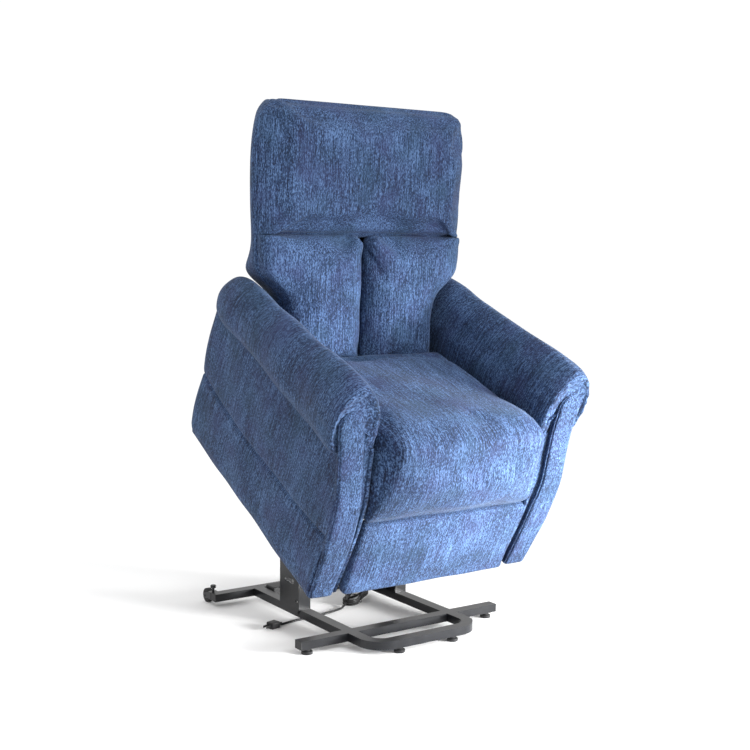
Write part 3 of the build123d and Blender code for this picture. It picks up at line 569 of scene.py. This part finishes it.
def back_wrap():
    """Side bands and rear of the backrest, one padded sheet round the wooden frame."""
    rear = 148.0

    def plan(h):
        """(x, d) corners from the front of one band round the rear, for the +x half."""
        w = back_half(h)
        taper = mix(8.0, 62.0, smooth(h, 220, 330))
        return [
            (w - 60, 58), (w - 30, 46), (w - 14, 34), (w - 4, 30), (w, 36), (w, 50), (w - taper * 0.3, 90),
            (w - taper * 0.8, 125), (w - taper - 6, rear - 12), (w - taper - 24, rear),
        ]

    def shape(u, v, w):
        h = mix(-26.0, 706.0, (w + 1) / 2)
        half = plan(h)
        other_half = [(-x, d) for x, d in reversed(half)]
        (x, d), (left_x, left_d) = with_normal(half + other_half, (u + 1) / 2)
        nx, nd = -left_x, -left_d
        thick = WRAP_THICKNESS * v - WRAP_THICKNESS
        edge = smooth(abs(w), 0.93, 1.0)
        x += nx * thick - nx * WRAP_TUCK * edge
        d += nd * thick - nd * WRAP_TUCK * edge
        side_face = clamp((d - 20) / 30) * clamp((rear - 10 - d) / 30)
        outer = clamp((abs(x) - back_half(h) + 42.0) / 40.0)
        h += smooth(h, 620, 706) * (7.0 - 20.0 * outer * outer)
        x += math.copysign(1.0, x) * side_face * 4.0 * math.sin(math.pi * clamp((d - 10) / (rear - 20)))
        x += wobble(x, h, d, 130.0, 3.0, seed=3)
        return back(x, h, d)

    obj = lattice("back_wrap", (110, 2, 60), shape, CLOTH_BACK)
    return finish_piece(subdivide(obj), "backrest", replaces=("back_shell",))


def back_top():
    """Padded top of the backrest, from the headrest to the rear panel."""
    def shape(u, v, w):
        p = rounded(dense(u), v, w, (316.0, 12.0, 60.0), (40.0, 10.0, 12.0))
        h = 696.0 + p.y - 10.0 * (p.x / 316.0) ** 4 + 3.0 * (1 - (p.z / 60.0) ** 2)
        taper = 1.0 - 0.10 * smooth(p.z, 0, 60)
        return back(p.x * taper, h, 90.0 + p.z)

    obj = lattice("back_top_cover", (40, 3, 8), shape, CLOTH_BACK)
    return finish_piece(subdivide(obj), "backrest")


# ---- Seat and legrest ----
SEAT_LINE = [
    (556, 398), (546, 420), (492, 433), (400, 450), (300, 464), (200, 479), (110, 495), (50, 505), (8, 508),
    (-22, 503), (-42, 487), (-51, 458), (-52, 420), (-47, 370), (-39, 315), (-29, 268), (-18, 240),
]


SEAT_UNDER = [(540, 330), (500, 300), (300, 300), (120, 300), (60, 296), (46, 275), (40, 253), (-6, 242)]


def seat_cushion():
    """Seat pad that runs on over the front edge as a waterfall, down to the legrest."""
    def shape(u, v, w):
        k = (w + 1) / 2
        top, under = along(SEAT_LINE, k), along(SEAT_UNDER, k)
        ahead, before = along(SEAT_LINE, min(1.0, k + 0.01)), along(SEAT_LINE, max(0.0, k - 0.01))
        run = math.hypot(ahead[0] - before[0], ahead[1] - before[1])
        ns, nt = -(ahead[1] - before[1]) / run, (ahead[0] - before[0]) / run
        depth = math.hypot(top[0] - under[0], top[1] - under[1])
        corner = mix(34.0, 12.0, smooth(k, 0.8, 1.0))
        p = rounded(dense(u), w, v, (278.0, 400.0, depth / 2), (corner, 12.0, 28.0))
        sunk = clamp((depth / 2 - p.z) / depth)
        above = 1 - smooth(sunk, 0.0, 0.6)
        across = p.x / 278.0
        out = above * (6.0 * (1 - across * across) * math.sin(math.pi * clamp(k * 1.05)) - 6.0)
        out += above * wobble(p.x, top[0], top[1], 150.0, 6.0, seed=7)
        out -= 9.0 * (smooth(k, 0.04, 0.0) + smooth(k, 0.97, 1.0)) * above
        x = p.x * (1.0 - 0.085 * smooth(k, 0.54, 0.74) + 0.08 * smooth(k, 0.74, 0.98))
        s = mix(top[0], under[0], sunk) - ns * out
        t = mix(top[1], under[1], sunk) - nt * out
        return seat(x, s, t)

    obj = lattice("seat_cushion_cover", (48, 8, 64), shape, CLOTH_SEAT)
    rear, deep = seat(0, 480, 0), seat(0, 70, 330)

    def held(point):
        inside = (point - deep).dot(TOWARDS_REAR) > 0 and (point - deep).dot(UPWARDS) < 0
        sewn = (point - deep).dot(UPWARDS) < -0.062
        return inside or sewn or (point - rear).dot(TOWARDS_REAR) > 0

    inflate(obj, 14.0, 9.0, held)
    return finish_piece(obj, "seat_body", replaces=("seat_cushion",))


def legrest_cover():
    """Thin pad wrapped round the legrest's board."""
    def shape(u, v, w):
        p = rounded(dense(u), dense(w), v, (276.0, 118.0, 19.0), (9.0, 7.0, 9.0))
        x, t, s = p.x, 121.0 + p.y, 3.0 + p.z
        front = clamp(-p.z / 12.0)
        s -= front * 3.0 * (1 - (p.x / 273.0) ** 2) * (1 - 0.6 * (p.y / 115.0) ** 2)
        s += front * wobble(x, t, 0, 110.0, 3.5, seed=11)
        return seat(x, s, t)

    obj = lattice("legrest_cover", (44, 3, 22), shape, CLOTH_FRONT)
    corner = seat(0, 2, 0)

    def held(point):
        height = (point - corner).dot(UPWARDS)
        edge = abs(point.x) > 0.263 or not 0.014 < height < 0.222
        return edge or (point - corner).dot(TOWARDS_REAR) > 0

    inflate(obj, 8.0, 7.0, held)
    return finish_piece(obj, "legrest", replaces=("legrest_pad",))


# ---- Arms ----
FRONT_LINE = [(2, 2), (150, -11), (240, -13), (310, -9), (382, 12), (460, 33), (520, 46), (562, 50)]
ROLL_TOP = [(40, 630), (90, 638), (220, 627), (411, 606), (565, 596), (694, 594), (750, 580), (792, 554)]
ROLL_SECTION = [
    (279, 372), (276, 430), (275, 480), (281, 534), (296, 580), (322, 614), (348, 634), (372, 635),
    (396, 618), (416, 590), (426, 552), (427, 510), (423, 474), (411, 448), (395, 438), (380, 436),
    (373, 446), (369, 472), (360, 500), (328, 502), (296, 480), (290, 420),
]


def front_s(t):
    """s of the arm's front face at a height."""
    return follow(FRONT_LINE, t)


def seam_t(s):
    """Height of the sewn line across the arm's side."""
    return follow([(0, 203), (130, 195), (268, 190), (400, 186), (527, 186), (680, 198), (825, 216)], s)


def arm_side(sign, name):
    """Padded cover round the arm's box: inner face, rear edge and outer face with its sewn line."""
    rear = [(283, 790), (285, 804), (290, 810), (300, 812), (352, 812), (366, 810), (374, 803), (377, 790)]

    def shape(u, v, w):
        t = mix(-1.0, 452.0, (w + 1) / 2)
        front = front_s(t) + 8.0
        loop = [(283, front)] + rear + [(377, front)]
        (x, s), (nx, ns) = with_normal(loop, (u + 1) / 2)
        outer = smooth(x, 340, 366)
        line = seam_t(s)
        if t < line:
            swell = 5.0 * math.sin(math.pi * clamp(t / line))
        else:
            swell = 6.0 * math.sin(math.pi * clamp((t - line) / 270) ** 0.6)
        groove = 6.5 * bump(t, line, 5.0)
        hem = 5.0 * smooth(-t, -26, 0)
        out = outer * (swell - groove + wobble(s, t, 0, 140.0, 4.0, seed=sign) - hem)
        thick = 5.0 * v - 5.0
        if x < 300:
            out += 1.5
        return seat(sign * (x + nx * (out + thick)), s + ns * (out + thick), t)

    obj = lattice("arm_cover_" + name, (150, 2, 74), shape, CLOTH_ARM)
    if sign < 0:
        obj.data.flip_normals()
    return finish_piece(obj, "seat_body", replaces=("arm_side_" + name,))


def roll_ring(s, inset, count):
    """(x, t) points round the roll's section at s, moved inwards by inset."""
    top = follow(ROLL_TOP, s)
    scale = (top - 441.0) / (633.0 - 441.0)
    narrow = 1.0 - 0.12 * smooth(s, 640, 776)
    squeeze = 8.0 * smooth(s, 90, 240)
    points = []
    for x, t in ROLL_SECTION:
        if t > 505 or x > 400:
            x -= math.copysign(squeeze, x - 350) * clamp(abs(x - 350) / 60)
        if t > 441:
            t = 441 + (t - 441) * scale
        t -= 11.0 * smooth(s, 500, 776)
        points.append((mix(350, x, narrow), t))
    closed = points + [points[0]]
    ring = []
    for i in range(count):
        x, t = along(closed, i / count)
        ax, at = along(closed, min(1.0, i / count + 0.004))
        bx, bt = along(closed, max(0.0, i / count - 0.004))
        length = math.hypot(ax - bx, at - bt) or 1.0
        nx, nt = -(at - bt) / length, (ax - bx) / length
        ring.append((x - nx * inset, t - nt * inset))
    return ring


NOSE_START = 78.0                # s at which the roll starts to turn in towards its facing
SCROLL_X, SCROLL_CENTRE, SCROLL_RADIUS = 367.0, 524.0, 38.0      # round top of the facing
RIM_RADIUS = 34.0                # radius of the roll's edge behind that round top


def gathers(i):
    """Uneven gathers round the roll, from -1 to 1, at its point number i."""
    return math.sin(i * 1.31 + 1.7 * math.sin(i * 0.37))


def roll_nose(k, ring):
    """Ring of the roll's front end: k runs from the section's edge to the rim of the facing's head."""
    points = []
    for i, (x, t) in enumerate(ring):
        angle = math.atan2(t - SCROLL_CENTRE, x - SCROLL_X)
        rim_x = SCROLL_X + RIM_RADIUS * math.cos(angle)
        rim_t = SCROLL_CENTRE + RIM_RADIUS * math.sin(angle)
        swing = math.sin(math.pi / 2 * min(1.0, k * 1.5))
        inward = 1 - math.sqrt(max(0.0, 1 - k * k))
        s = NOSE_START - 36.0 * swing + 12.0 * smooth(k, 0.66, 1.0)
        pleat = gathers(i) * math.sin(math.pi * min(1.0, k * 1.1))
        points.append((mix(x, rim_x, inward), mix(t, rim_t, inward), s + 2.6 * pleat))
    return points


def arm_roll(sign, name):
    """Rolled top of an arm: rings from the facing's rim back to a rounded rear end, closed at both."""
    rings, count = [], 96
    base = roll_ring(NOSE_START, 0.0, count)
    for step in range(10):
        rings.append(roll_nose(1 - step / 10, base))
    for s in [NOSE_START + 16 * k for k in range(41)]:
        rings.append([(x, t, s) for x, t in roll_ring(s, 0.0, count)])
    for s, inset in [(740, 0.8), (757, 3.0), (770, 7.0), (780, 12.0), (787, 19.0), (790, 28.0)]:
        rings.append([(x, t, s) for x, t in roll_ring(s, inset, count)])
    points, faces = [], []
    for ring in rings:
        for i, (x, t, s) in enumerate(ring):
            crease = 1.8 * bump(s, 96, 34) * gathers(i)
            loose = smooth(s, 70, 150) * smooth(x, 282, 312)
            soft = crease + wobble(x, s, t, 120.0, 6.0, seed=5 + sign) * loose
            away = Vector((x - 350, t - 520)).normalized() * soft
            points.append(seat(sign * (x + away.x), s, t + away.y))
    for ring in range(len(rings) - 1):
        for i in range(count):
            a, b = ring * count + i, ring * count + (i + 1) % count
            quad = [a, b, b + count, a + count]
            faces.append(quad if sign < 0 else quad[::-1])
    last = (len(rings) - 1) * count
    first_cap, last_cap = list(range(count)), [last + i for i in range(count)]
    faces.append(first_cap[::-1] if sign < 0 else first_cap)
    faces.append(last_cap if sign < 0 else last_cap[::-1])
    obj = make_object("arm_roll_cover_" + name, points, faces, CLOTH_ARM)
    return finish_piece(subdivide(obj), "seat_body", replaces=("arm_roll_" + name,))


def arm_rear_cap(sign, name):
    """Padded corner behind the roll, over the top of the arm's rear edge."""
    def shape(u, v, w):
        p = rounded(u, w, v, (48.0, 60.0, 30.0), (8.0, 16.0, 16.0))
        return seat(sign * (329.5 + p.x), 753.5 + p.y, 470.0 + p.z)

    obj = lattice("arm_rear_cap_" + name, (10, 6, 12), shape, CLOTH_ARM)
    if sign > 0:
        obj.data.flip_normals()
    return finish_piece(subdivide(obj), "seat_body")


def facing_edges(t):
    """Inner and outer x of the facing at a height."""
    inner = follow([(0, 304), (110, 302), (210, 303), (333, 313), (455, 321), (500, 328), (524, 330)], t)
    outer = follow([(0, 371), (110, 377), (210, 381), (333, 383), (455, 391), (500, 400), (524, 404)], t)
    if t > SCROLL_CENTRE:
        reach = math.sqrt(max(0.0, 1 - ((t - SCROLL_CENTRE) / SCROLL_RADIUS) ** 2))
        middle = (inner + outer) / 2
        half = (outer - inner) / 2
        return middle - half * reach, middle + half * reach
    return inner, outer


def arm_front(sign, name):
    """Facing on the arm's front, the narrow strip on its inner side, and the facing's sewn edge."""
    top = SCROLL_CENTRE + SCROLL_RADIUS

    def facing(u, v, w):
        k = (w + 1) / 2
        t = top * (1 - (1 - k) ** 1.35)
        inner, outer = facing_edges(min(t, top - 0.3))
        x = mix(inner, outer, (dense(u) + 1) / 2)
        edge = max(abs(u) ** 5, smooth(t, top - 16, top) ** 2)
        s = front_s(t) + 1.0 - 8.0 * (1 - edge) * clamp(-v) + 16.0 * (v + 1) / 2
        s += wobble(x, t, 0, 70.0, 2.5, seed=sign * 3) * clamp(-v)
        return seat(sign * x, s, t)

    def strip(u, v, w):
        t = mix(1.0, 446.0, (w + 1) / 2)
        inner, outer = 279.5, facing_edges(t)[0] + 2.0
        x = mix(inner, outer, (dense(u) + 1) / 2)
        s = front_s(t) + 17.0 - 5.0 * (1 - abs(u) ** 3) * clamp(-v) + 10.0 * (v + 1) / 2
        return seat(sign * x, s, t)

    pieces = [lattice("arm_facing_" + name, (12, 2, 60), facing, CLOTH_FRONT),
              lattice("arm_inner_strip_" + name, (6, 2, 40), strip, CLOTH_FRONT)]
    for obj in pieces:
        if sign < 0:
            obj.data.flip_normals()
        finish_piece(subdivide(obj), "seat_body")
    heights = [6.0 + 518.0 * k / 16 for k in range(17)]
    rim = [(facing_edges(t)[0] - 1, t) for t in heights]
    for k in range(1, 10):
        angle = math.pi * (1 - k / 10)
        inner, outer = facing_edges(SCROLL_CENTRE)
        rim.append(((inner + outer) / 2 + (outer - inner + 2) / 2 * math.cos(angle),
                    SCROLL_CENTRE + (SCROLL_RADIUS + 1) * math.sin(angle)))
    rim += [(facing_edges(t)[1] + 1, t) for t in reversed(heights)]
    edge = welt("arm_welt_" + name, [seat(sign * x, front_s(t) + 1.5, t) for x, t in rim], 2.2, CLOTH_FRONT)
    finish_piece(edge, "seat_body")
    return pieces


def rear_cover():
    """Fabric over the panel that closes the seat body's rear."""
    def shape(u, v, w):
        x, t = 288.0 * dense(u), mix(2.0, 332.0, (dense(w) + 1) / 2)
        s = 806.0 + 6.0 * v
        if v > 0:
            s += 5.0 * (1 - u**4) * (1 - w**4) - 5.0 + wobble(x, t, 0, 150.0, 3.0)
        return seat(x, s, t)

    obj = lattice("rear_cover", (40, 2, 26), shape, CLOTH_FRONT)
    return finish_piece(subdivide(obj), "seat_body", replaces=("rear_panel",))


def pocket():
    """Pouch for the handset on the arm's outer side, slightly open at its top."""
    low, high = 80.0, 272.0

    def shape(u, v, w):
        s = mix(430.0, 640.0, (dense(u) + 1) / 2)
        t = mix(low, high, (w + 1) / 2)
        gape = smooth(t, low, high)
        bulge = (1 - abs(u) ** 3)
        x = 380.0 + 17.0 * bulge * smooth(t, low - 20, low + 80) + 2.0 * gape * bulge
        x += 2.0 * v
        return seat(x, s, t - 3.0 * gape * bulge)

    obj = lattice("pocket_cover", (30, 2, 24), shape, CLOTH_ARM)
    return finish_piece(subdivide(obj), "seat_body", replaces=("side_pocket",))


# ---- Mains lead ----
CORD_RADIUS = 3.5
FLOOR_Z = CORD_RADIUS + 0.1      # height of the lead's middle where it lies on the floor
HANK_LOCAL = (86.0, 388.0)       # centre of the hank: x, and y behind the front tube's face
HANK_HALF, HANK_TURN = 75.0, math.radians(40.4)
FOLD_RADIUS, HANK_STRAIGHT = 24.0, 52.0
TIE_PLACE = -22.0                # where the tie goes round, along the hank
TURNS = 3
TURN_RISE = 4.9                  # height that each turn adds
TIE_WIDTH = 22.0                 # half length of the run that the tie pinches


def mains_lead():
    """Lead from the supply's strain relief over the floor, round its tied hank and on to the plug."""
    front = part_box("base_front_tube")[0].y / MM
    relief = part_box("cord_strain_relief")
    exit_x = relief[1].x / MM
    exit_y = (relief[0].y + relief[1].y) / 2 / MM
    exit_z = (relief[0].z + relief[1].z) / 2 / MM

    def hank(x, y, z):
        a = HANK_TURN
        return (HANK_LOCAL[0] + x * math.cos(a) - y * math.sin(a),
                front + HANK_LOCAL[1] + x * math.sin(a) + y * math.cos(a), z)

    route = [
        (exit_x, exit_y, exit_z), (exit_x + 26, exit_y, exit_z), (exit_x + 54, exit_y + 0.5, 15),
        (exit_x + 84, exit_y + 1, 5), (exit_x + 114, exit_y + 2.5, FLOOR_Z),
        (exit_x + 143, exit_y - 0.5, FLOOR_Z), (exit_x + 165, exit_y + 1.5, FLOOR_Z),
        (150.6, front + 527, FLOOR_Z), (168.2, front + 517.6, FLOOR_Z), (179.3, front + 501.1, FLOOR_Z),
        (181.4, front + 481.3, FLOOR_Z), (173.9, front + 462.8, FLOOR_Z),
        (158.9, front + 449.2, FLOOR_Z), hank(HANK_HALF, 0, FLOOR_Z),
        hank(46, 5, FLOOR_Z), hank(22, 15, FLOOR_Z),
    ]
    lap = []
    for side, first, run in ((-1, 90, (0.0, -22.0, -40.0)), (1, 270, (-40.0, -22.0, 0.0, 40.0))):
        lap += [(x, -side * FOLD_RADIUS) for x in run]
        for turn in range(first, first + 181, 30):
            angle = math.radians(turn)
            lap.append((side * HANK_STRAIGHT + FOLD_RADIUS * math.cos(angle), FOLD_RADIUS * math.sin(angle)))
    lap.append((40.0, FOLD_RADIUS))
    for step in range(TURNS * len(lap) + 1):
        turns = step / len(lap)
        x, y = lap[step % len(lap)]
        pinch = (0.185 - 0.095 * math.cos(math.pi * turns)) * bump(x, TIE_PLACE, TIE_WIDTH)
        z = FLOOR_Z + TURN_RISE * turns + 2.7 * smooth(turns, 0.3, 0.6)
        route.append(hank(x, y * (1 - pinch), z))
    route += [
        hank(-26, 19, 20), hank(-52, 14.5, 17), hank(-HANK_HALF, 8, 11.5), hank(-HANK_HALF - 28, 8, 5),
        (-24, front + 316, FLOOR_Z), (-54, front + 307, FLOOR_Z), (-86, front + 301, FLOOR_Z),
        (-120, front + 294, FLOOR_Z), (-156, front + 291.5, FLOOR_Z), (-192, front + 290, FLOOR_Z),
        (-222, front + 285.5, FLOOR_Z), (-248, front + 279, FLOOR_Z),
    ]
    points = [Vector(p) * MM for p in route]
    lead = welt("mains_lead", points, CORD_RADIUS, SLOT_LOOKS["cord_rubber"])
    lead.data.bevel_resolution = 4
    lead.data.resolution_u = 12
    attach(lead, "base")
    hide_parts("mains_cord_rear", "mains_cord_front", "mains_cord_hank")
    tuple(points[0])
    return lead


# ---- Floor, light and camera ----
def area_light(name, place, aim, size, power, spread=180.0):
    light = bpy.data.lights.new(name, "AREA")
    light.size = size
    light.energy = power
    light.spread = math.radians(spread)
    obj = bpy.data.objects.new(name, light)
    obj.location = place
    obj.rotation_euler = (Vector(aim) - Vector(place)).to_track_quat("-Z", "Y").to_euler()
    bpy.context.scene.collection.objects.link(obj)


def studio():
    """White floor and world, a low light from the right front and a wide one from above the front."""
    size = 60.0
    material, nodes, links, shader = new_material("floor_white", 1.0)
    shader.inputs["Base Color"].default_value = (1.0, 1.0, 1.0, 1.0)
    shader.inputs["Specular IOR Level"].default_value = 0.0
    corners = [(-size, -size, 0), (size, -size, 0), (size, size, 0), (-size, size, 0)]
    make_object("studio_floor", corners, [(0, 1, 2, 3)], material, False)
    world = bpy.data.worlds.new("studio")
    bpy.context.scene.world = world
    world.use_nodes = True
    world.node_tree.nodes["Background"].inputs["Color"].default_value = (1.0, 1.0, 1.0, 1.0)
    world.node_tree.nodes["Background"].inputs["Strength"].default_value = 1.03
    bpy.context.scene.view_settings.view_transform = "Standard"
    area_light("key", (1.25, -1.75, 0.5), (0.25, -0.35, 0.42), 0.6, 17.0, spread=44.0)
    area_light("fill", (0.8, -3.2, 3.0), (0.0, 0.0, 0.9), 2.0, 125.0)


CAMERA_PLACE = Vector((-2.0271, -2.9895, 1.1129))
CAMERA_TURN, CAMERA_PITCH, CAMERA_ROLL = -34.1, 90 - 5.77, 0.41      # degrees
CAMERA_LENS = 59.16


def camera():
    data = bpy.data.cameras.new("camera")
    data.lens = CAMERA_LENS
    data.sensor_width = 36.0
    obj = bpy.data.objects.new("camera", data)
    turn = Matrix.Rotation(math.radians(CAMERA_TURN), 4, "Z")
    pitch = Matrix.Rotation(math.radians(CAMERA_PITCH), 4, "X")
    roll = Matrix.Rotation(math.radians(CAMERA_ROLL), 4, "Z")
    obj.matrix_world = Matrix.Translation(CAMERA_PLACE) @ turn @ pitch @ roll
    bpy.context.scene.collection.objects.link(obj)
    bpy.context.scene.camera = obj


dress_cad_nodes()
head_pad()
lumbar_pads()
back_wrap()
back_top()
seat_cushion()
legrest_cover()
for side_sign, side_name in ((1, "left"), (-1, "right")):
    arm_side(side_sign, side_name)
    arm_roll(side_sign, side_name)
    arm_rear_cap(side_sign, side_name)
    covers = arm_front(side_sign, side_name)
    if side_sign > 0:
        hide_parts("arm_facings")
rear_cover()
pocket()
mains_lead()
studio()
camera()
